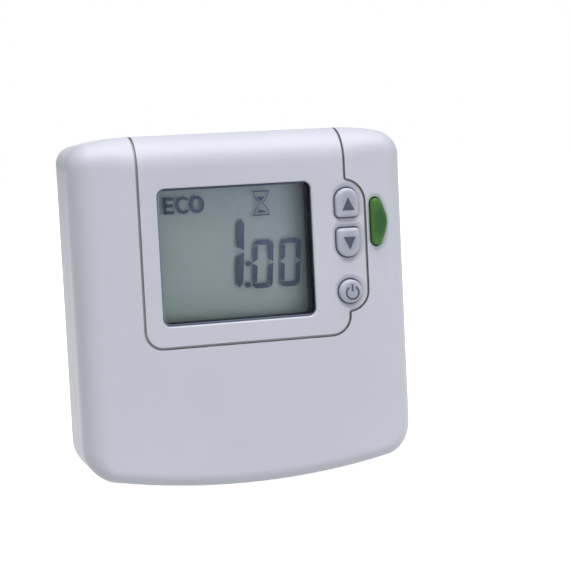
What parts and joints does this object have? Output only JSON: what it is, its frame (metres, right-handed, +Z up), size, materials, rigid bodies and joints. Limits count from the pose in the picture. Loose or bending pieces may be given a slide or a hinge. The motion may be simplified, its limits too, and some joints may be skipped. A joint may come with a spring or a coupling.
{
  "type": "programmable timer",
  "caption": "Wall-hung battery room timer with a display window, arrow and power keys, a side key and a pull-off front cover, clipped to a screw-on wall plate.",
  "frame": {"origin": "centre of the wall plate's back face, on the wall", "axes": "+Z up, +Y into the wall, +X to the right of a person who faces the unit"},
  "size_m": [0.09, 0.0275, 0.0927],
  "materials": {
    "case_plastic": "fine satin moulded ABS",
    "plate_plastic": "moulded ABS",
    "frame_plastic": "moulded ABS",
    "tray_plastic": "moulded ABS",
    "black_plastic": "black moulded ABS",
    "clear_lens": "clear polycarbonate",
    "display_film": "polarising film",
    "display_glass": "liquid crystal glass",
    "reflector_film": "transflective film",
    "clear_acrylic": "clear acrylic",
    "led_package": "side-view diode package",
    "conductive_rubber": "carbon-loaded silicone",
    "grey_silicone": "translucent grey silicone",
    "green_silicone": "green silicone",
    "mat_silicone": "silicone sheet",
    "gold_plate": "gold flash over copper",
    "board_laminate": "glass epoxy with green solder mask",
    "chip_resin": "moulded epoxy",
    "tin_plate": "tin-plated steel",
    "copper_wire": "enamelled copper",
    "capacitor_can": "drawn aluminium can",
    "chip_ceramic": "sintered ceramic",
    "sensor_resin": "epoxy bead",
    "cell_sleeve": "plain printed cell sleeve",
    "nickel_steel": "nickel-plated spring steel",
    "zinc_screw": "zinc-plated steel"
  },
  "bodies": {
    "wall_plate": {"wall_plate": "plate_plastic"},
    "housing": {"rear_case": "case_plastic", "display_bezel": "case_plastic", "display_surround": "black_plastic", "display_lens": "clear_lens", "front_polariser": "display_film", "display_cell": "display_glass", "rear_reflector": "reflector_film", "light_guide": "clear_acrylic", "backlight_leds": "led_package", "display_holder": "frame_plastic", "contact_strips": "conductive_rubber", "key_guide": "frame_plastic", "key_mat": "mat_silicone", "contact_pills": "conductive_rubber", "contact_pads": "gold_plate", "circuit_board": "board_laminate", "microcontroller": "chip_resin", "radio_board": "board_laminate", "radio_shield": "tin_plate", "antenna": "copper_wire", "crystal": "tin_plate", "capacitors": "capacitor_can", "chip_parts": "chip_ceramic", "power_regulator": "chip_resin", "temperature_sensor": "sensor_resin", "battery_tray": "tray_plastic", "upper_cell": "cell_sleeve", "lower_cell": "cell_sleeve", "contact_bridge": "nickel_steel", "contact_tabs": "nickel_steel", "battery_springs": "nickel_steel", "case_screws": "zinc_screw", "bezel_screws": "zinc_screw", "tray_screws": "zinc_screw"},
    "front_cover": {"front_cover": "case_plastic"},
    "up_key": {"up_key": "grey_silicone"},
    "down_key": {"down_key": "grey_silicone"},
    "power_key": {"power_key": "grey_silicone"},
    "eco_key": {"eco_key": "green_silicone"}
  },
  "joints": [
    {"name": "unit_release", "type": "slide", "parent": "wall_plate", "child": "housing", "axis": [0, -1, 0], "range_m": [0, 0.012]},
    {"name": "cover_release", "type": "slide", "parent": "housing", "child": "front_cover", "axis": [0, -1, 0], "range_m": [0, 0.014]},
    {"name": "up_press", "type": "slide", "parent": "housing", "child": "up_key", "axis": [0, 1, 0], "range_m": [0, 0.0006], "stiffness_N_per_m": 2000},
    {"name": "down_press", "type": "slide", "parent": "housing", "child": "down_key", "axis": [0, 1, 0], "range_m": [0, 0.0006], "stiffness_N_per_m": 2000},
    {"name": "power_press", "type": "slide", "parent": "housing", "child": "power_key", "axis": [0, 1, 0], "range_m": [0, 0.0006], "stiffness_N_per_m": 2000},
    {"name": "eco_press", "type": "slide", "parent": "housing", "child": "eco_key", "axis": [0, 1, 0], "range_m": [0, 0.0006], "stiffness_N_per_m": 2000}
  ]
}
